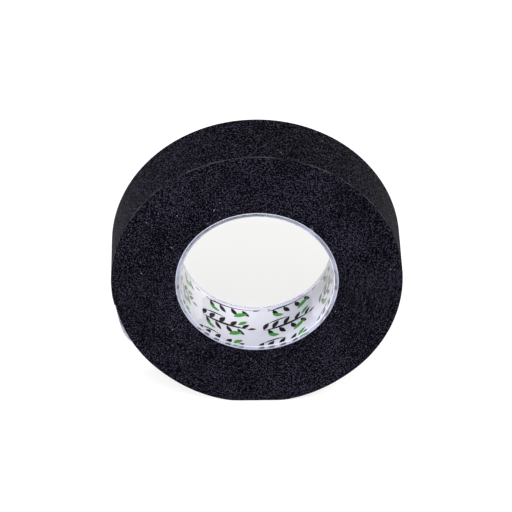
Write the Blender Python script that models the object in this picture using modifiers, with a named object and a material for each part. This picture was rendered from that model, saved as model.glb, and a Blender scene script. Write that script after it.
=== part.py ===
"""Grip tape roll: a black foam strip with a release liner, wound on a clear core.

The roll stands on its rim. Its axis runs along Y, its front side faces -Y, and the
origin is the middle of the small flat where the rim rests. Directions round the roll
are in degrees from +X towards +Z. The strip winds outwards as they grow, and its free
end, the tail, is divided into hinged stretches so that it can be lifted off the roll.
The tail's foam is pressed thinner and thinner, so the rim has only a low step at its end.
"""

import math

import bmesh
import bpy
from mathutils import Vector

# Driving dimensions, in metres and degrees
WIDTH = 0.024
LINER_WIDTH = 0.0236
CORE_BORE_RADIUS = 0.0254
CORE_WALL = 0.0016
CORE_EDGE_BREAK = 0.0003
FOAM_THICKNESS = 0.0008
FOAM_END_THICKNESS = 0.0002
LINER_THICKNESS = 0.0001
LAYER_GAP = 0.00005
START_TAB_THICKNESS = 0.00006
START_RADIUS = 0.02735
WOUND_ANGLE = 7340.0
STEP_START = 300.0
EVEN_TURNS = 19.0
TAIL_END = 190.0
TAIL_STRETCHES = 6
STRETCH_ANGLE = 20.0
CUT_GAP = 0.0003
PULL_TAB_LIFTS = (0.0, 0.00025, 0.0006)
PULL_TAB_STEP = 6.3
START_TAB_ANGLE = 30.0
FOOT_HEIGHT = 0.0475
FOOT_HALF_ANGLE = 10.0
FACET_ANGLE = 10.0
CORE_FACETS = 72

# What follows from them
CORE_RADIUS = CORE_BORE_RADIUS + CORE_WALL
PITCH = FOAM_THICKNESS + LINER_THICKNESS + 2 * LAYER_GAP
STRIP_START = TAIL_END - WOUND_ANGLE
TAIL_ROOT = TAIL_END - TAIL_STRETCHES * STRETCH_ANGLE
DOWN = -90.0
CORE_CENTRE = Vector((0, 0, FOOT_HEIGHT))


def strip_radius(angle):
    """Radius of the liner's inner side at an unwound angle.

    The first turn lies on the core and climbs over the strip's start at its end. That
    step spreads from turn to turn, until the outer turns climb evenly all the way.
    """
    turns = (angle - STRIP_START) / 360
    whole = math.floor(turns)
    even = turns - whole
    step = max(0.0, (360 * even - STEP_START) / (360 - STEP_START))
    evenness = min(1.0, turns / EVEN_TURNS)
    return START_RADIUS + PITCH * (whole + step + evenness * (even - step))


def foam_thickness(angle):
    """Thickness of the foam at an unwound angle, even as far as the tail."""
    pressed = max(0.0, (angle - TAIL_ROOT) / (TAIL_END - TAIL_ROOT))
    return FOAM_THICKNESS + pressed * (FOAM_END_THICKNESS - FOAM_THICKNESS)


def foam_offset(angle):
    """From the liner's inner side to the foam's middle."""
    return LINER_THICKNESS + LAYER_GAP + foam_thickness(angle) / 2


def liner_offset(angle):
    """From the liner's inner side to its middle."""
    return LINER_THICKNESS / 2


def start_tab_offset(angle):
    """From the liner's inner side to the middle of the tape under it."""
    return -0.00014


def rim_radius(direction):
    """Radius of the rim in a direction between the tail's end and one turn before it."""
    return strip_radius(direction) + foam_offset(direction) + foam_thickness(direction) / 2


def foot_squash(angle, offset):
    """Radius at an unwound angle and an offset from the liner, pressed flat over the foot.

    Every layer moves in proportion to its distance from the core, so none touch. The foam
    bulges a little at both ends of the flat.
    """
    radius = strip_radius(angle) + offset
    from_down = (angle - DOWN + 180) % 360 - 180
    if abs(from_down) > FOOT_HALF_ANGLE:
        return radius
    flat = FOOT_HEIGHT / math.cos(math.radians(from_down))
    middle = rim_radius(DOWN + from_down) - FOAM_THICKNESS / 2
    flat_middle = flat - FOAM_THICKNESS / 2 / math.cos(math.radians(from_down))
    return CORE_RADIUS + (radius - CORE_RADIUS) * (flat_middle - CORE_RADIUS) / (middle - CORE_RADIUS)


def around(angle, radius):
    """A point at a direction and a radius, halfway between the front and back sides."""
    turn = math.radians(angle)
    return CORE_CENTRE + radius * Vector((math.cos(turn), 0, math.sin(turn)))


def layer_angles(start, end):
    steps = round((end - start) / FACET_ANGLE)
    return [start + i * FACET_ANGLE for i in range(steps + 1)]


def layer_path(start, end, offset, start_cut=0.0, end_cut=0.0):
    """Points of a layer from one angle to another, shortened at each end by a cut."""
    points = [around(angle, foot_squash(angle, offset(angle))) for angle in layer_angles(start, end)]
    points[0] += (points[1] - points[0]).normalized() * start_cut
    points[-1] += (points[-2] - points[-1]).normalized() * end_cut
    return points


def material(name, colour, roughness, alpha=1.0, transmission=0.0):
    """A Principled material, made once for each name."""
    found = bpy.data.materials.get(name)
    if found:
        return found
    made = bpy.data.materials.new(name)
    made.use_nodes = True
    shader = made.node_tree.nodes["Principled BSDF"]
    shader.inputs["Base Color"].default_value = (*colour, 1.0)
    shader.inputs["Roughness"].default_value = roughness
    shader.inputs["Metallic"].default_value = 0.0
    shader.inputs["Alpha"].default_value = alpha
    shader.inputs["Transmission Weight"].default_value = transmission
    made.diffuse_color = (*colour, alpha)
    return made


def foam_layer():
    """Width, full thickness and material of the foam."""
    return WIDTH, FOAM_THICKNESS, material("foam", (0.017, 0.016, 0.023), 0.9)


def liner_layer():
    """Width, thickness and material of the release liner."""
    return LINER_WIDTH, LINER_THICKNESS, material("printed_liner", (0.62, 0.64, 0.72), 0.35)


def start_tab_layer():
    """Width, thickness and material of the tape that holds the first turn."""
    return LINER_WIDTH, START_TAB_THICKNESS, material("clear_tape", (0.85, 0.85, 0.80), 0.2, alpha=0.5)


def core_material():
    return material("clear_plastic", (0.80, 0.82, 0.92), 0.08, alpha=0.35, transmission=0.9)


def empty_at(name, location, parent, collection):
    """A joint's empty, whose Y axis is the hinge line."""
    empty = bpy.data.objects.new(name, None)
    empty.empty_display_size = 0.006
    collection.objects.link(empty)
    empty.location = location
    bpy.context.view_layer.update()
    if parent:
        empty.parent = parent
        empty.matrix_parent_inverse = parent.matrix_world.inverted()
    bpy.context.view_layer.update()
    return empty


def add_object(name, mesh, look, parent, collection):
    """Links a mesh whose points are in world coordinates, with its origin on its parent."""
    mesh.materials.append(look)
    piece = bpy.data.objects.new(name, mesh)
    collection.objects.link(piece)
    if parent:
        mesh.transform(parent.matrix_world.inverted())
        piece.parent = parent
    return piece


def strip_piece(name, path, layer, parent, collection, shares=None):
    """A ribbon across the roll along a path, given its thickness by Solidify.

    The shares say how much of its full thickness the ribbon has at each point of the path.
    """
    width, thickness, look = layer
    shape = bmesh.new()
    weights = shape.verts.layers.deform.verify()
    front = [shape.verts.new(point - Vector((0, width / 2, 0))) for point in path]
    for corner, share in zip(front, shares or [1.0] * len(path)):
        corner[weights][0] = share
    edges = [shape.edges.new(pair) for pair in zip(front, front[1:])]
    swept = bmesh.ops.extrude_edge_only(shape, edges=edges)["geom"]
    back = [item for item in swept if isinstance(item, bmesh.types.BMVert)]
    bmesh.ops.translate(shape, verts=back, vec=(0, width, 0))
    mesh = bpy.data.meshes.new(name)
    shape.to_mesh(mesh)
    shape.free()
    piece = add_object(name, mesh, look, parent, collection)
    solid = piece.modifiers.new("thickness", "SOLIDIFY")
    solid.thickness = thickness
    solid.offset = 0
    solid.use_even_offset = True
    solid.vertex_group = piece.vertex_groups.new(name="thickness").name


def core_tube(collection):
    """The clear tube, turned from a section with broken edges."""
    half = WIDTH / 2
    soft = CORE_EDGE_BREAK
    section = [
        (CORE_RADIUS, half - soft),
        (CORE_RADIUS, soft - half),
        (CORE_RADIUS - soft, -half),
        (CORE_BORE_RADIUS + soft, -half),
        (CORE_BORE_RADIUS, soft - half),
        (CORE_BORE_RADIUS, half - soft),
        (CORE_BORE_RADIUS + soft, half),
        (CORE_RADIUS - soft, half),
    ]
    shape = bmesh.new()
    corners = [shape.verts.new((radius, 0, height)) for radius, height in section]
    for pair in zip(corners, corners[1:] + corners[:1]):
        shape.edges.new(pair)
    mesh = bpy.data.meshes.new("core_tube")
    shape.to_mesh(mesh)
    shape.free()
    tube = add_object("core_tube", mesh, core_material(), None, collection)
    tube.location = CORE_CENTRE
    tube.rotation_euler = (-math.pi / 2, 0, 0)
    screw = tube.modifiers.new("turned", "SCREW")
    screw.angle = 2 * math.pi
    screw.steps = CORE_FACETS
    screw.render_steps = CORE_FACETS
    screw.use_merge_vertices = True
    screw.merge_threshold = 0.00001
    screw.use_smooth_shade = True


def core_start_tab(collection):
    """The short tape between the core and the liner's first turn."""
    path = layer_path(STRIP_START, STRIP_START + START_TAB_ANGLE, start_tab_offset)
    strip_piece("core_start_tab", path, start_tab_layer(), None, collection)


def wound_strip(collection):
    """The foam and the liner from the core to the tail's first hinge."""
    foam = layer_path(STRIP_START, TAIL_ROOT, foam_offset, end_cut=CUT_GAP / 2)
    strip_piece("wound_foam_strip", foam, foam_layer(), None, collection)
    liner = layer_path(STRIP_START, TAIL_ROOT, liner_offset, end_cut=CUT_GAP / 2)
    strip_piece("wound_release_liner", liner, liner_layer(), None, collection)


def hinge_point(angle):
    """A tail hinge lies on the rim, so that lifting the strip opens the cut under it."""
    return around(angle, rim_radius(angle))


def tail(collection):
    """The hinged stretches of the free end, each on the empty of its own hinge."""
    hinge = None
    for number in range(1, TAIL_STRETCHES + 1):
        start = TAIL_ROOT + (number - 1) * STRETCH_ANGLE
        end = start + STRETCH_ANGLE
        end_cut = CUT_GAP / 2 if number < TAIL_STRETCHES else 0.0
        hinge = empty_at(f"tail_hinge_{number}", hinge_point(start), hinge, collection)
        foam = layer_path(start, end, foam_offset, CUT_GAP / 2, end_cut)
        shares = [foam_thickness(angle) / FOAM_THICKNESS for angle in layer_angles(start, end)]
        strip_piece(f"tail_foam_{number}", foam, foam_layer(), hinge, collection, shares)
        liner = layer_path(start, end, liner_offset, CUT_GAP / 2, end_cut)
        strip_piece(f"tail_liner_{number}", liner, liner_layer(), hinge, collection)
    return hinge


def liner_pull_tab(last_hinge, collection):
    """The liner's bare end, which follows the rim and stands off it towards its tip."""
    middle = strip_radius(TAIL_END) + LINER_THICKNESS / 2
    end = around(TAIL_END, middle)
    tips = []
    for number, lift in enumerate(PULL_TAB_LIFTS, 1):
        tips.append(around(TAIL_END + number * PULL_TAB_STEP, middle + lift))
    along = (tips[0] - end).normalized()
    root = around(TAIL_END, middle + LINER_THICKNESS / 2)
    hinge = empty_at("liner_tab_hinge", root, last_hinge, collection)
    strip_piece("liner_pull_tab", [end + along * CUT_GAP, *tips], liner_layer(), hinge, collection)


def clear_scene():
    for item in list(bpy.data.objects):
        bpy.data.objects.remove(item, do_unlink=True)


def build():
    clear_scene()
    collection = bpy.data.collections.new("grip_tape_roll")
    bpy.context.scene.collection.children.link(collection)
    core_tube(collection)
    core_start_tab(collection)
    wound_strip(collection)
    last_stretch = tail(collection)
    liner_pull_tab(last_stretch, collection)
    bpy.context.view_layer.update()


build()
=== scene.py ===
"""Looks of the grip tape roll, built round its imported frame.

Directions round the roll are in degrees from +X towards +Z. Along the strip they are
unwound: they grow by 360 a turn from the core outwards, to TAIL_END at the free end.
"""

import math

import bpy
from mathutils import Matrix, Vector, noise


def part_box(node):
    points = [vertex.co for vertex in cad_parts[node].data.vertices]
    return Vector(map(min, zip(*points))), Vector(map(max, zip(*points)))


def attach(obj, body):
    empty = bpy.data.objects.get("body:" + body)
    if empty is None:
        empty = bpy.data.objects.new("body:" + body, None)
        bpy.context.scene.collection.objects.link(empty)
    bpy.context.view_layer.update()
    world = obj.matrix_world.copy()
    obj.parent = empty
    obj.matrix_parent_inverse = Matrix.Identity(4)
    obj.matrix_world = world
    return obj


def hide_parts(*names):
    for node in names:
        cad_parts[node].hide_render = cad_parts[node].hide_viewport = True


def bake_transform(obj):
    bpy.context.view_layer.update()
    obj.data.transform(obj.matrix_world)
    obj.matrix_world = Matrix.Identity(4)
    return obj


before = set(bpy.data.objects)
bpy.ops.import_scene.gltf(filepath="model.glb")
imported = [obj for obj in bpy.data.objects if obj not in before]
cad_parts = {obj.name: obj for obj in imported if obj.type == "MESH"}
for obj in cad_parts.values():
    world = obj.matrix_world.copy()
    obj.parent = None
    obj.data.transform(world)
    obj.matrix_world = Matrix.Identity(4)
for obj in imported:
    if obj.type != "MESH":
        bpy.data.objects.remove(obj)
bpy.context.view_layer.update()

# Read from the frame
core_low, core_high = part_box("core_tube")
CENTRE = (core_low + core_high) / 2
CORE_RADIUS = (core_high.x - core_low.x) / 2
WIDTH = core_high.y - core_low.y
FOOT_HEIGHT = CENTRE.z
liner_low, liner_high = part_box("wound_release_liner")
LINER_WIDTH = liner_high.y - liner_low.y

# The strip as it is wound, in metres and degrees
CORE_WALL = 0.0016
FOAM_THICKNESS = 0.0008
FOAM_END_THICKNESS = 0.0002
LINER_THICKNESS = 0.0001
LAYER_GAP = 0.00005
START_RADIUS = 0.02735
WOUND_ANGLE = 7340.0
STEP_START = 300.0
EVEN_TURNS = 19.0
TAIL_END = 190.0
TAIL_STRETCHES = 6
STRETCH_ANGLE = 20.0
PULL_TAB_ANGLE = 18.9
CUT_SLANT = 4.0
PULL_TAB_LIFT = 0.0008
START_TAB_ANGLE = 30.0
START_TAB_RAMP = 4.0
START_TAB_THICKNESS = 0.00006
PITCH = FOAM_THICKNESS + LINER_THICKNESS + 2 * LAYER_GAP
STRIP_START = TAIL_END - WOUND_ANGLE
TAIL_ROOT = TAIL_END - TAIL_STRETCHES * STRETCH_ANGLE
OUTER_TURN_START = TAIL_ROOT - STRETCH_ANGLE / 2 - 360

# How the first turn lies on the core, and the clearances that the eye can't see
CLIMB_START = 344.0
CONTACT = 0.000005
LAYER_CLEARANCE = 0.00001
TAIL_CLEARANCE = 0.00002
LIP_CLEARANCE = 0.00003

# The foot, with a bulge beside its flat, whose middle and reach are in degrees from straight down
DOWN = -90.0
FOOT_SOFTNESS = 0.0004
FOOT_BULGE = 0.00035
BULGE_MIDDLE = 15.0
BULGE_REACH = 25.0
CLEAR_OF_FOOT = 0.001

# How finely the shapes are cut
INNER_STEP = 3.0
OUTER_STEP = 1.25
CORE_STEP = 1.5
START_TAB_STEP = 2.0
RIM_DIVISIONS = 16
CORE_DIVISIONS = 4
START_TAB_DIVISIONS = 2
CORNER_POINTS = 4
SHARP_ANGLE = 50

# How round the edges are
LAYER_EDGE_ROUND = 0.00003
RIM_EDGE_ROUND = 0.00028
MOST_ROUNDED = 0.4
BORE_EDGE_ROUND = 0.00035
CORE_EDGE_ROUND = 0.0003
START_TAB_ROUND = 0.00001

# How uneven the foam is: waves of the sides, round the roll and from turn to turn, and of the rim
SIDE_WAVE = 0.00003
SIDE_WAVES_ROUND = 1.6
SIDE_WAVES_PER_TURN = 0.9
SIDE_WAVE_FALLOFF = 8
BACK_SIDE_SEED = 40.0
RIM_WAVE = 0.00004
RIM_WAVE_SCALE = 60
RIM_GRAIN_SCALE = 260
RIM_GRAIN_SHARE = 0.4

# Which faces of the core section's outline are its cut ends, and which its bore and outer walls
CORE_CUTS = (10, 21)
CORE_WALLS = (3, 4, 5, 6, 14, 15, 16, 17)

# Shades of the foam's pores and flecks on its sides and on its rim, of a painted highlight along the rim's
# edges, and of bright grains
SIDE_SHADES = ((0.0, 0.0, 0.0014, 1), (0.035, 0.033, 0.052, 1))
# The rim's shades are darker than the sides': painted shade on the rim.
RIM_SHADES = ((0.0, 0.0, 0.0010, 1), (0.027, 0.0255, 0.040, 1))
EDGE_HIGHLIGHT_SHADE = (0.045, 0.044, 0.052, 1)
BRIGHT_GRAIN = (0.24, 0.245, 0.27, 1)

# Tints of the core's walls, cut ends and rounded edges, and of its tape; the cut ends' lavender is
# painted, standing in for the film seen through them, and the rounded edges' pale, part-opaque tint is
# partly frosted plastic and partly a painted highlight
WALL_TINT = (0.90, 0.91, 0.98, 1)
CUT_TINT = (0.50, 0.53, 0.74, 1)
EDGE_TINT = (0.62, 0.63, 0.73, 1)
TAPE_TINT = (0.66, 0.67, 0.72, 1)
PLASTIC_IOR = 1.49

# The film's two shades, both painted: darker where foam lies behind it, as painted shade, and paler and
# bluer on the free end, as painted light coming through; and its inks
WOUND_PAPER = ((0.525, 0.52, 0.553, 1), (0.593, 0.588, 0.6, 1))
FREE_PAPER = ((0.53, 0.55, 0.65, 1), (0.60, 0.615, 0.69, 1))
BLACK_INK = (0.002, 0.002, 0.003, 1)
GREEN_INK = (0.050, 0.23, 0.035, 1)
PRINT_SHOWN_THROUGH = 0.16

# One sprig of the liner's print: x, y, turn, length, width, bend (millimetres and degrees), green
SPRIG = (
    (-0.4, 0.0, 3, 16.0, 1.0, 0.7, False),
    (-7.0, 1.6, 65, 3.6, 1.5, 0.2, False),
    (-5.6, -1.4, -60, 3.4, 1.4, -0.2, False),
    (-4.2, 1.9, 60, 3.8, 1.6, 0.2, False),
    (-2.2, -1.3, -58, 3.6, 1.5, -0.2, False),
    (-0.8, 2.2, 62, 3.8, 1.6, 0.2, False),
    (1.4, -1.2, -60, 3.6, 1.5, -0.2, False),
    (2.7, 2.0, 58, 3.6, 1.5, 0.2, False),
    (4.8, -1.2, -52, 3.4, 1.4, -0.2, False),
    (6.2, 1.5, 48, 3.2, 1.3, 0.2, False),
    (8.0, 0.4, 12, 2.6, 1.0, 0.2, False),
    (-3.4, 3.2, 10, 7.0, 0.6, 0.7, False),
    (3.2, -2.5, 28, 4.8, 1.8, 0.3, True),
    (-4.9, -2.6, -22, 3.8, 1.5, -0.2, True),
    (5.4, 2.9, 38, 3.6, 1.4, 0.2, True),
)
SPRIG_SIZE = 1.25
SPRIG_EDGE = (-0.04, 0.12)

# How the sprigs repeat along the strip, in rows across it, inside a plain margin
SPRIG_REPEAT = 0.0239475
ROW_HEIGHT = 0.0113
ROW_BASE = -0.00715
ROW_START = 0.55
ROW_STAGGER = -0.08
PRINT_MARGIN = (0.0104, 0.0107)
MILLIMETRES = 1000

# The floor, and a painted shadow on it behind the roll, a greyer spot: its shades, middle, soft edge and
# length
FLOOR_SIZE = 6
FLOOR_GLOW = 0.8
FLOOR_SHADES = ((0.25, 0.25, 0.25, 1), (0.27, 0.27, 0.27, 1))
PAINTED_SHADOW_SHADE = (0.22, 0.22, 0.22, 1)
PAINTED_SHADOW_GLOW = (0.765, 0.765, 0.77, 1)
SPOT_BEHIND = 0.067
SPOT_EDGE = (0.031, 0.050)
SPOT_LENGTH = 1.1

# Lamps: name, place from the roll's centre, size, power and colour
LAMPS = (
    ("key", (0.0, -1.28, 1.54), (1.2, 1.3), 42, (1.0, 1.0, 1.0)),
    ("left_box", (-0.95, -0.1, 0.16), (0.4, 0.3), 8, (1.0, 1.0, 1.0)),
    ("right_box", (0.75, 0.3, 0.7), (0.5, 0.5), 8, (1.0, 0.95, 0.84)),
)

# The surroundings' strength falls from front to back, between two values of a direction's Y
FADE_BETWEEN = (-0.2, 0.8)
STRENGTH_BETWEEN = (0.45, 0.1)

# The camera, in metres, degrees and millimetres
CAMERA_DISTANCE = 1.3
CAMERA_ELEVATION = 33.1
CAMERA_AZIMUTH = -1.0
LENS = 276.9
SENSOR = 36
LENS_SHIFT = (-0.00203, 0.0517)
NEAREST_SEEN = 0.05


def strip_radius(angle):
    """Radius of the liner's inner side at an unwound angle, from the second turn on.

    Near the core a turn is round and steps up at its end. Over EVEN_TURNS it becomes an even spiral.
    """
    turns = (angle - STRIP_START) / 360
    whole = math.floor(turns)
    even = turns - whole
    step = max(0.0, (360 * even - STEP_START) / (360 - STEP_START))
    evenness = min(1.0, turns / EVEN_TURNS)
    return START_RADIUS + PITCH * (whole + step + evenness * (even - step))


def smooth(value):
    """An eased step from 0 to 1."""
    value = min(1.0, max(0.0, value))
    return value * value * (3 - 2 * value)


def liner_radius(angle):
    """Radius of the liner's inner side, with the first turn stuck to the core and climbing at its end.

    Its start is a little higher, on the tape that holds it.
    """
    wound = angle - STRIP_START
    if wound >= 360:
        return strip_radius(angle)
    held = START_TAB_THICKNESS + 3 * CONTACT
    stuck = CORE_RADIUS - CONTACT + held * (1 - smooth((wound - START_TAB_ANGLE) / START_TAB_RAMP))
    climb = smooth((wound - CLIMB_START) / (360 - CLIMB_START))
    return stuck + climb * (START_RADIUS + PITCH - stuck)


def foam_thickness(angle):
    """Thickness of the foam at an unwound angle: the tail's is pressed thin and its end cut slanting."""
    thinned = max(0.0, (angle - TAIL_ROOT) / (TAIL_END - TAIL_ROOT)) ** 3
    cut = 1 - 0.5 * smooth((angle - TAIL_END + CUT_SLANT) / CUT_SLANT)
    return cut * (FOAM_THICKNESS + thinned * (FOAM_END_THICKNESS - FOAM_THICKNESS))


def soft_min(a, b, softness):
    """The smaller of two lengths, with the corner between them rounded."""
    near = max(softness - abs(a - b), 0.0) / softness
    return min(a, b) - near * near * softness / 4


def pressed(angle, radius):
    """A radius with the roll's weight on its foot.

    The rim is flat there and bulges beside the flat. Every layer moves in proportion.
    """
    from_down = (angle - DOWN + 180) % 360 - 180
    if abs(from_down) > BULGE_MIDDLE + BULGE_REACH:
        return radius
    rim = strip_radius(DOWN + from_down) + LINER_THICKNESS + LAYER_GAP + FOAM_THICKNESS
    bulge = FOOT_BULGE * max(0.0, 1 - ((abs(from_down) - BULGE_MIDDLE) / BULGE_REACH) ** 2) ** 2
    flat = FOOT_HEIGHT / math.cos(math.radians(from_down))
    foot = soft_min(rim + bulge, flat, FOOT_SOFTNESS)
    return CORE_RADIUS + (radius - CORE_RADIUS) * (foot - CORE_RADIUS) / (rim - CORE_RADIUS)


def around(angle, radius, across):
    """A point at a direction, a radius and a place across the roll's width."""
    turn = math.radians(angle)
    return CENTRE + Vector((radius * math.cos(turn), across, radius * math.sin(turn)))


def steps_between(start, end, step):
    """Angles from one to another, both included, about a step apart."""
    count = max(1, round((end - start) / step))
    return [start + (end - start) * i / count for i in range(count + 1)]


def corner(radius, side, size, first):
    """A quarter turn of a section's outline, as (radius, across) pairs."""
    for i in range(CORNER_POINTS):
        turn = math.radians(first + 90 * i / (CORNER_POINTS - 1))
        yield radius + size * math.sin(turn), side + size * math.cos(turn)


def rounded_section(low, high, half_width, low_round, high_round, across, lip=None):
    """Corners of a strip's section as (radius, across) pairs, from the front low corner round.

    A lip, given as its radius and how far from the middle it begins, closes round the liner's edges.
    """
    edge_low, lip_side = lip or (low, half_width)
    points = list(corner(edge_low + low_round, -half_width + low_round, low_round, 180))
    if lip:
        points += [(edge_low, -lip_side), (low, -lip_side)]
    for i in range(1, across):
        points.append((low, lip_side * (2 * i / across - 1)))
    if lip:
        points += [(low, lip_side), (edge_low, lip_side)]
    points += corner(edge_low + low_round, half_width - low_round, low_round, 270)
    points += corner(high - high_round, half_width - high_round, high_round, 0)
    for i in range(1, across):
        points.append((high, half_width * (1 - 2 * i / across)))
    points += corner(high - high_round, -half_width + high_round, high_round, 90)
    return points


def sweep(name, rings, lengths, closed=False):
    """A mesh through rings of points, capped unless closed, with (length, across) as its UV map.

    The points' own places are stored too, so that a pattern stays on a piece that bends.
    """
    size = len(rings[0])
    points = [point for ring in rings for point in ring]
    faces = []
    for i in range(len(rings) if closed else len(rings) - 1):
        here, there = i * size, (i + 1) % len(rings) * size
        for j in range(size):
            k = (j + 1) % size
            faces.append((here + j, there + j, there + k, here + k))
    if not closed:
        faces.append(tuple(range(size)))
        faces.append(tuple(reversed(range(len(points) - size, len(points)))))
    mesh = bpy.data.meshes.new(name)
    mesh.from_pydata(points, [], faces)
    place = mesh.attributes.new("rest_place", "FLOAT_VECTOR", "POINT")
    place.data.foreach_set("vector", [value for point in points for value in point])
    uv = mesh.uv_layers.new(name="strip")
    for loop in mesh.loops:
        ring = loop.vertex_index // size
        uv.data[loop.index].uv = (lengths[ring], mesh.vertices[loop.vertex_index].co.y)
    mesh.shade_smooth()
    mesh.set_sharp_from_angle(angle=math.radians(SHARP_ANGLE))
    mesh.update()
    piece = bpy.data.objects.new(name, mesh)
    bpy.context.scene.collection.objects.link(piece)
    return piece


def strip_length(angle):
    """Length along the strip from its start to an unwound angle."""
    turns = (angle - STRIP_START) / 360
    return math.tau * turns * (START_RADIUS + PITCH * turns / 2)


def side_shift(angle, front):
    """How far a layer's edge stands out of the roll's side, from uneven winding."""
    turn = math.radians(angle)
    seed = 0.0 if front else BACK_SIDE_SEED
    across_turns = seed + angle / 360 * SIDE_WAVES_PER_TURN
    spot = Vector((SIDE_WAVES_ROUND * math.cos(turn), SIDE_WAVES_ROUND * math.sin(turn), across_turns))
    return SIDE_WAVE * noise.noise(spot)


def rim_shift(place):
    """How far the rim stands out or in, from uneven foam."""
    grain = RIM_GRAIN_SHARE * noise.noise(place * RIM_GRAIN_SCALE)
    return RIM_WAVE * (noise.noise(place * RIM_WAVE_SCALE) + grain)


def foam_ring(angle, across, exposed):
    """One ring of foam points at an unwound angle."""
    base = liner_radius(angle)
    low = base + LINER_THICKNESS + LAYER_CLEARANCE
    if exposed:
        high = base + LINER_THICKNESS + LAYER_GAP + foam_thickness(angle)
        edge_low = base - LAYER_GAP + TAIL_CLEARANCE
    else:
        high = strip_radius(angle) + PITCH - LAYER_CLEARANCE
        edge_low = base if angle - STRIP_START > 360 else CORE_RADIUS + CONTACT
    lip = (edge_low, LINER_WIDTH / 2 + LIP_CLEARANCE)
    bare = exposed and not covered(angle)
    edge_round = min(RIM_EDGE_ROUND if bare else LAYER_EDGE_ROUND, (high - low) * MOST_ROUNDED)
    ring = []
    for radius, y in rounded_section(low, high, WIDTH / 2, LAYER_EDGE_ROUND, edge_round, across, lip):
        out = abs(y) / (WIDTH / 2)
        shift = side_shift(angle, y < 0) * out ** SIDE_WAVE_FALLOFF
        place = around(angle, pressed(angle, radius), y + shift)
        outer_share = (radius - low) / (high - low)
        if bare and outer_share > 0.5 and place.z > CLEAR_OF_FOOT:
            place += (place - CENTRE).normalized() * rim_shift(place)
        ring.append(place)
    return ring


def covered(angle):
    """Whether the tail lies on the strip at an unwound angle."""
    return angle < TAIL_END - 360


def mark(piece, name, angles, places):
    """Mark some places of a piece's rings, where the tail doesn't lie on them."""
    size = len(piece.data.vertices) // len(angles)
    marks = [float(place in places and not covered(angle)) for angle in angles for place in range(size)]
    layer = piece.data.attributes.new(name, "FLOAT", "POINT")
    layer.data.foreach_set("value", marks)


def mark_rim(piece, angles, across):
    """Mark the strip's outer side, which gets a little painted shade, and its edges, which get a painted
    highlight.
    """
    front_corner = len(piece.data.vertices) // len(angles) - CORNER_POINTS
    back_corner = front_corner - across + 1 - CORNER_POINTS
    mark(piece, "rim", angles, range(back_corner + CORNER_POINTS - 1, front_corner + 1))
    mark(piece, "edge", angles, (back_corner + 1, back_corner + 2, front_corner + 1, front_corner + 2))


def foam_piece(name, start, end, step, exposed=False):
    """A length of foam. The exposed kind is the rim or can become it, and is cut finer."""
    angles = steps_between(start, end, step)
    across = RIM_DIVISIONS if exposed else 1
    rings = [foam_ring(angle, across, exposed) for angle in angles]
    piece = sweep(name, rings, [strip_length(angle) for angle in angles])
    if exposed:
        mark_rim(piece, angles, across)
    piece.data.materials.append(foam_look())
    return piece


def liner_ring(angle, base):
    """One ring of the film's four corners, with its inner side at a radius."""
    half = LINER_WIDTH / 2
    corners = (
        (base, -half),
        (base, half),
        (base + LINER_THICKNESS, half),
        (base + LINER_THICKNESS, -half),
    )
    return [around(angle, pressed(angle, radius), y) for radius, y in corners]


def liner_from_rings(name, rings, lengths, free=False):
    """A length of film, printed on its inner side."""
    piece = sweep(name, rings, lengths)
    piece.data.materials.append(liner_look(True, free))
    piece.data.materials.append(liner_look(False, free))
    for face in piece.data.polygons:
        face.material_index = 0 if face.index % 4 == 0 and len(face.vertices) == 4 else 1
    return piece


def liner_piece(name, start, end, step):
    """A length of film between two unwound angles."""
    angles = steps_between(start, end, step)
    rings = [liner_ring(angle, liner_radius(angle)) for angle in angles]
    return liner_from_rings(name, rings, [strip_length(angle) for angle in angles])


# Materials


class Nodes:
    """Short ways to add and link nodes in one material."""

    def __init__(self, name):
        self.material = bpy.data.materials.new(name)
        self.material.use_nodes = True
        self.tree = self.material.node_tree
        self.shader = self.tree.nodes["Principled BSDF"]
        self.output = self.tree.nodes["Material Output"]

    def add(self, kind, settings=None, inputs=None):
        node = self.tree.nodes.new(kind)
        for name, value in (settings or {}).items():
            setattr(node, name, value)
        for name, value in (inputs or {}).items():
            self.set(node.inputs[name], value)
        return node

    def set(self, socket, value):
        if isinstance(value, bpy.types.NodeSocket):
            self.tree.links.new(value, socket)
        else:
            socket.default_value = value

    def maths(self, operation, first, second=0.0, third=0.0):
        node = self.add("ShaderNodeMath", {"operation": operation})
        for socket, value in zip(node.inputs, (first, second, third)):
            self.set(socket, value)
        return node.outputs[0]

    def range(self, value, low, high, new_low=0.0, new_high=1.0):
        inputs = {"Value": value, "From Min": low, "From Max": high, "To Min": new_low, "To Max": new_high}
        return self.add("ShaderNodeMapRange", {"interpolation_type": "SMOOTHSTEP"}, inputs).outputs[0]

    def mix(self, share, first, second):
        node = self.add("ShaderNodeMix", {"data_type": "RGBA"})
        self.set(node.inputs[0], share)
        self.set(node.inputs[6], first)
        self.set(node.inputs[7], second)
        return node.outputs[2]

    def noise(self, place, scale, detail=2.0, roughness=0.5):
        inputs = {"Vector": place, "Scale": scale, "Detail": detail, "Roughness": roughness}
        return self.add("ShaderNodeTexNoise", inputs=inputs).outputs["Fac"]

    def rest_place(self):
        return self.add("ShaderNodeAttribute", {"attribute_name": "rest_place"}).outputs["Vector"]

    def bump(self, height, strength, distance):
        inputs = {"Height": height, "Strength": strength, "Distance": distance}
        return self.add("ShaderNodeBump", inputs=inputs).outputs["Normal"]

    def principled(self, **values):
        for name, value in values.items():
            self.set(self.shader.inputs[name.replace("_", " ")], value)


def made(name):
    """The material of this name, or None before it is made."""
    return bpy.data.materials.get(name)


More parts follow.
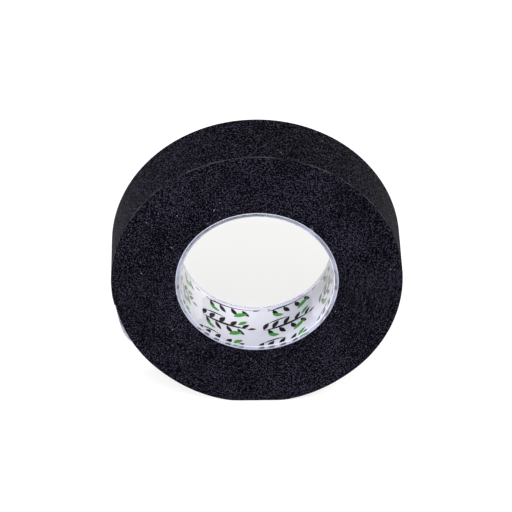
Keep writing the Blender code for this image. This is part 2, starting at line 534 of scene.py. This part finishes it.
def foam_look():
    """Bluish black closed-cell foam: fine pores, a soft bloom on slanted light and a few bright grains."""
    if made("foam_look"):
        return made("foam_look")
    n = Nodes("foam_look")
    place = n.rest_place()
    grain = n.noise(place, 2100, detail=2.0, roughness=0.6)
    pores = n.add("ShaderNodeTexVoronoi", inputs={"Vector": place, "Scale": 2600}).outputs["Distance"]
    cloud = n.noise(place, 70, detail=3.0)
    tone = n.maths("ADD", grain, n.range(cloud, 0.3, 0.7, -0.02, 0.02))
    side = n.mix(n.range(tone, 0.48, 0.66), *SIDE_SHADES)
    # The rim's own, coarser grain, between darker shades that are painted shade.
    rim_grain = n.noise(place, 1600, detail=2.0, roughness=0.6)
    shaded_rim = n.mix(n.range(rim_grain, 0.49, 0.63), *RIM_SHADES)
    rim = n.add("ShaderNodeAttribute", {"attribute_name": "rim"}).outputs["Fac"]
    edge = n.add("ShaderNodeAttribute", {"attribute_name": "edge"}).outputs["Fac"]
    # The rim's edges get a painted highlight: a paler line, broken into dots by noise.
    highlight_dots = n.range(n.noise(place, 150, detail=4.0), 0.40, 0.62, 0.1, 0.95)
    with_edge_highlight = n.mix(n.maths("MULTIPLY", edge, highlight_dots), n.mix(rim, side, shaded_rim), EDGE_HIGHLIGHT_SHADE)
    grit = n.add("ShaderNodeTexVoronoi", inputs={"Vector": place, "Scale": 500})
    rare = n.add("ShaderNodeSeparateColor", inputs={"Color": grit.outputs["Color"]}).outputs[0]
    close = n.range(grit.outputs["Distance"], 0.05, 0.14, 1.0, 0.0)
    sparkle = n.maths("MULTIPLY", close, n.range(rare, 0.8, 1.0, 0.0, 1.0))
    colour = n.mix(sparkle, with_edge_highlight, BRIGHT_GRAIN)
    height = n.maths("ADD", grain, n.maths("MULTIPLY", pores, 0.5))
    n.principled(Base_Color=colour, Roughness=n.range(grain, 0.3, 0.7, 0.95, 0.75))
    n.principled(Normal=n.bump(height, 0.7, 0.0003))
    n.principled(Sheen_Weight=0.045, Sheen_Roughness=0.08, Specular_IOR_Level=0.03)
    return n.material


def sprig_ink(n, x, y):
    """How much black and how much green ink lies at a place in a sprig's cell, in millimetres."""
    place = n.add("ShaderNodeCombineXYZ", inputs={"X": x, "Y": y}).outputs[0]
    inks = {False: 0.0, True: 0.0}
    for left, up, turn, length, width, bend, green in SPRIG:
        inputs = {
            "Vector": place,
            "Location": (left, up, 0),
            "Rotation": (0, 0, math.radians(turn)),
            "Scale": (length / 2, width / 2, 1),
        }
        local = n.add("ShaderNodeMapping", {"vector_type": "TEXTURE"}, inputs).outputs[0]
        split = n.add("ShaderNodeSeparateXYZ", inputs={"Vector": local})
        arch = n.maths("SUBTRACT", 1.0, n.maths("MULTIPLY", split.outputs[0], split.outputs[0]))
        bent = n.maths("MULTIPLY_ADD", arch, -2 * bend / width, split.outputs[1])
        inside = n.maths("SUBTRACT", arch, n.maths("ABSOLUTE", bent))
        leaf = n.range(inside, *SPRIG_EDGE)
        inks[green] = n.maths("MAXIMUM", inks[green], leaf)
    return inks[False], inks[True]


def liner_look(printed, free):
    """Lavender-white film with staggered rows of sprigs on its inner side.

    The print shows faintly through to the plain side, and the free end lets light through; its paler,
    bluer paper is painted light.
    """
    name = ("free_" if free else "wound_") + ("liner_print" if printed else "liner_plain")
    if made(name):
        return made(name)
    n = Nodes(name)
    place = n.rest_place()
    # The wound film's darker paper is painted shade, the free end's paler, bluer paper is painted light.
    shades = FREE_PAPER if free else WOUND_PAPER
    paper = n.mix(n.noise(place, 90, detail=3.0), *shades)
    uv = n.add("ShaderNodeUVMap", {"uv_map": "strip"}).outputs[0]
    split = n.add("ShaderNodeSeparateXYZ", inputs={"Vector": uv})
    across = n.maths("DIVIDE", n.maths("SUBTRACT", split.outputs[1], ROW_BASE), ROW_HEIGHT)
    row = n.maths("FLOOR", across)
    up = n.maths("SUBTRACT", n.maths("FRACT", across), 0.5)
    y = n.maths("MULTIPLY", up, ROW_HEIGHT * MILLIMETRES / SPRIG_SIZE)
    along = n.maths("MULTIPLY_ADD", split.outputs[0], 1 / SPRIG_REPEAT, ROW_START)
    staggered = n.maths("FRACT", n.maths("MULTIPLY_ADD", row, ROW_STAGGER, along))
    aside = n.maths("SUBTRACT", staggered, 0.5)
    x = n.maths("MULTIPLY", aside, SPRIG_REPEAT * MILLIMETRES / SPRIG_SIZE)
    black, green = sprig_ink(n, x, y)
    strength = 1.0 if printed else PRINT_SHOWN_THROUGH
    strength = n.range(n.maths("ABSOLUTE", split.outputs[1]), *PRINT_MARGIN, strength, 0.0)
    paper = n.mix(n.maths("MULTIPLY", black, strength), paper, BLACK_INK)
    paper = n.mix(n.maths("MULTIPLY", green, strength), paper, GREEN_INK)
    creases = n.noise(place, 220, detail=2.0)
    n.principled(Base_Color=paper, Roughness=n.range(creases, 0.3, 0.7, 0.32, 0.42))
    n.principled(Normal=n.bump(creases, 0.15, 0.0002))
    if free:
        n.principled(Subsurface_Weight=0.9, Subsurface_Radius=(1, 1, 1), Subsurface_Scale=0.0006)
    if printed:
        n.principled(Specular_IOR_Level=0.12)
    else:
        n.principled(Coat_Weight=0.15, Coat_Roughness=0.2)
    return n.material


def clear_look(name, tint, roughness, mark_scale, clearness=1.0):
    """Clear or frosted plastic that lets lamps through, with faint scuffs."""
    n = Nodes(name)
    place = n.rest_place()
    scuffs = n.noise(place, mark_scale, detail=4.0, roughness=0.65)
    n.principled(Base_Color=tint, Roughness=n.range(scuffs, 0.55, 0.8, roughness, roughness + 0.12))
    n.principled(Transmission_Weight=clearness, IOR=PLASTIC_IOR)
    n.principled(Normal=n.bump(scuffs, 0.03, 0.0001))
    shadow = n.add("ShaderNodeLightPath").outputs["Is Shadow Ray"]
    through = n.add("ShaderNodeBsdfTransparent", inputs={"Color": tint})
    both = n.add("ShaderNodeMixShader")
    n.set(both.inputs[0], shadow)
    n.set(both.inputs[1], n.shader.outputs[0])
    n.set(both.inputs[2], through.outputs[0])
    n.set(n.output.inputs["Surface"], both.outputs[0])
    return n.material


# Pieces


def make_core():
    """The clear tube, with rounded rims."""
    low = CORE_RADIUS - CORE_WALL
    rounds = (BORE_EDGE_ROUND, CORE_EDGE_ROUND)
    section = rounded_section(low, CORE_RADIUS, WIDTH / 2, *rounds, CORE_DIVISIONS)
    angles = steps_between(0, 360, CORE_STEP)[:-1]
    rings = [[around(angle, radius, y) for radius, y in section] for angle in angles]
    core = sweep("clear_core", rings, [math.radians(a) * CORE_RADIUS for a in angles], closed=True)
    core.data.materials.append(clear_look("core_look", WALL_TINT, 0.1, 160))
    # Cut ends: slightly frosted plastic with a painted lavender, which stands in for the film seen through
    # them.
    core.data.materials.append(clear_look("core_cut_look", CUT_TINT, 0.15, 300, 0.9))
    # Rounded edges: pale and part opaque, partly frosted plastic and partly a painted highlight.
    core.data.materials.append(clear_look("core_rim_look", EDGE_TINT, 0.2, 300, 0.35))
    for face in core.data.polygons:
        place = face.index % len(section)
        if place in CORE_CUTS:
            face.material_index = 1
        elif place not in CORE_WALLS:
            face.material_index = 2
    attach(core, "roll")
    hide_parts("core_tube")


def make_start_tab():
    """The frosted tape that holds the first turn, stuck to the core under the liner."""
    low = CORE_RADIUS - CONTACT
    high = low + START_TAB_THICKNESS
    rounds = (START_TAB_ROUND, START_TAB_ROUND)
    section = rounded_section(low, high, LINER_WIDTH / 2, *rounds, START_TAB_DIVISIONS)
    angles = steps_between(STRIP_START, STRIP_START + START_TAB_ANGLE, START_TAB_STEP)
    rings = [[around(angle, radius, y) for radius, y in section] for angle in angles]
    tab = sweep("start_tab", rings, [strip_length(angle) for angle in angles])
    tab.data.materials.append(clear_look("start_tab_look", TAPE_TINT, 0.15, 500, 0.2))
    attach(tab, "roll")
    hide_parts("core_start_tab")


def make_wound_strip():
    """The foam and the liner from the core to where the tail begins to bend."""
    end = TAIL_ROOT - STRETCH_ANGLE / 2
    inner = foam_piece("foam_inner_turns", STRIP_START, OUTER_TURN_START, INNER_STEP)
    outer = foam_piece("foam_outer_turn", OUTER_TURN_START, end, OUTER_STEP, exposed=True)
    liner = liner_piece("liner_wound", STRIP_START, end, INNER_STEP)
    for piece in (inner, outer, liner):
        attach(piece, "roll")
    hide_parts("wound_foam_strip")
    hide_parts("wound_release_liner")


def tail_body(number):
    """The body that a stretch of the tail rides on. Stretch 0 is the roll."""
    return "roll" if number == 0 else f"tail_{number}"


def make_tail():
    """The free end, one piece of foam and of liner over each hinge, and the foam's end on the last
    stretch.
    """
    half = STRETCH_ANGLE / 2
    for number in range(1, TAIL_STRETCHES + 1):
        hinge = TAIL_ROOT + (number - 1) * STRETCH_ANGLE
        foam = foam_piece(f"foam_tail_{number}", hinge - half, hinge + half, OUTER_STEP, exposed=True)
        liner = liner_piece(f"liner_tail_{number}", hinge - half, hinge + half, OUTER_STEP)
        for piece in (foam, liner):
            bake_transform(piece)
        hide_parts(f"tail_foam_{number}")
        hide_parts(f"tail_liner_{number}")
    foam_end = foam_piece("foam_tail_end", TAIL_END - half, TAIL_END, OUTER_STEP, exposed=True)
    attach(foam_end, tail_body(TAIL_STRETCHES))


def make_pull_tab():
    """The liner from the last stretch to its bare end, which bulges off the rim before its tip."""
    angles = steps_between(TAIL_END - STRETCH_ANGLE / 2, TAIL_END + PULL_TAB_ANGLE, OUTER_STEP)
    root_radius = strip_radius(TAIL_END)
    rings = []
    for angle in angles:
        share = max(0.0, (angle - TAIL_END) / (PULL_TAB_ANGLE + 1))
        lift = PULL_TAB_LIFT * math.sin(math.pi * share ** 2)
        rings.append(liner_ring(angle, min(strip_radius(angle), root_radius) + lift))
    lengths = [strip_length(angle) for angle in angles]
    tab = liner_from_rings("liner_pull_end", rings, lengths, free=True)
    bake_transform(tab)
    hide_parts("liner_pull_tab")


# Stage


def make_floor():
    """A pale floor that glows, as a light table does, so that shadows on it are faint.

    It has a painted shadow behind the roll, a greyer spot where the bore shows it.
    """
    bpy.ops.mesh.primitive_plane_add(size=FLOOR_SIZE, location=(0, 0, 0))
    floor = bpy.context.object
    floor.name = "floor"
    n = Nodes("floor_look")
    place = n.add("ShaderNodeTexCoord").outputs["Object"]
    inputs = {"Vector": place, "Location": (0, SPOT_BEHIND, 0), "Scale": (1, SPOT_LENGTH, 1)}
    local = n.add("ShaderNodeMapping", {"vector_type": "TEXTURE"}, inputs).outputs[0]
    away = n.add("ShaderNodeVectorMath", {"operation": "LENGTH"}, {"Vector": local}).outputs["Value"]
    # A painted shadow: inside this spot behind the roll the floor is greyer and glows less.
    outside_painted_shadow = n.range(away, *SPOT_EDGE)
    colour = n.mix(n.noise(place, 3), *FLOOR_SHADES)
    n.principled(Base_Color=n.mix(outside_painted_shadow, PAINTED_SHADOW_SHADE, colour), Roughness=0.7)
    n.principled(Emission_Color=n.mix(outside_painted_shadow, PAINTED_SHADOW_GLOW, (1.0, 1.0, 1.0, 1)))
    n.principled(Emission_Strength=FLOOR_GLOW, Specular_IOR_Level=0.2)
    floor.data.materials.append(n.material)


def make_lamp(name, place, size, power, colour):
    """A rectangular lamp that faces the roll's centre."""
    light = bpy.data.lights.new(name, "AREA")
    light.shape = "RECTANGLE"
    light.size, light.size_y = size
    light.energy = power
    light.color = colour
    lamp = bpy.data.objects.new(name, light)
    lamp.location = CENTRE + Vector(place)
    lamp.rotation_euler = (-Vector(place)).to_track_quat("-Z", "Y").to_euler()
    bpy.context.scene.collection.objects.link(lamp)


def make_light():
    """Soft light from the front and above, with a dimmer back."""
    world = bpy.data.worlds.new("studio")
    world.use_nodes = True
    tree = world.node_tree
    background = tree.nodes["Background"]
    background.inputs["Color"].default_value = (1.0, 1.0, 1.0, 1)
    towards = tree.nodes.new("ShaderNodeTexCoord")
    split = tree.nodes.new("ShaderNodeSeparateXYZ")
    fade = tree.nodes.new("ShaderNodeMapRange")
    fade.inputs["From Min"].default_value = FADE_BETWEEN[0]
    fade.inputs["From Max"].default_value = FADE_BETWEEN[1]
    fade.inputs["To Min"].default_value = STRENGTH_BETWEEN[0]
    fade.inputs["To Max"].default_value = STRENGTH_BETWEEN[1]
    tree.links.new(towards.outputs["Generated"], split.inputs[0])
    tree.links.new(split.outputs["Y"], fade.inputs["Value"])
    tree.links.new(fade.outputs[0], background.inputs["Strength"])
    bpy.context.scene.world = world
    for lamp in LAMPS:
        make_lamp(*lamp)


def make_camera():
    """A long lens above the front side, which looks down at the roll."""
    elevation, azimuth = math.radians(CAMERA_ELEVATION), math.radians(CAMERA_AZIMUTH)
    level = math.cos(elevation)
    forward = Vector((math.sin(-azimuth) * level, math.cos(azimuth) * level, -math.sin(elevation)))
    camera = bpy.data.cameras.new("camera")
    camera.lens = LENS
    camera.sensor_width = SENSOR
    camera.shift_x, camera.shift_y = LENS_SHIFT
    camera.clip_start = NEAREST_SEEN
    eye = bpy.data.objects.new("camera", camera)
    eye.location = CENTRE - Vector((0, WIDTH / 2, 0)) - forward * CAMERA_DISTANCE
    eye.rotation_euler = forward.to_track_quat("-Z", "Y").to_euler()
    bpy.context.scene.collection.objects.link(eye)
    bpy.context.scene.camera = eye
    bpy.context.scene.view_settings.view_transform = "Standard"


make_camera()
make_light()
make_floor()
make_core()
make_start_tab()
make_wound_strip()
make_tail()
make_pull_tab()
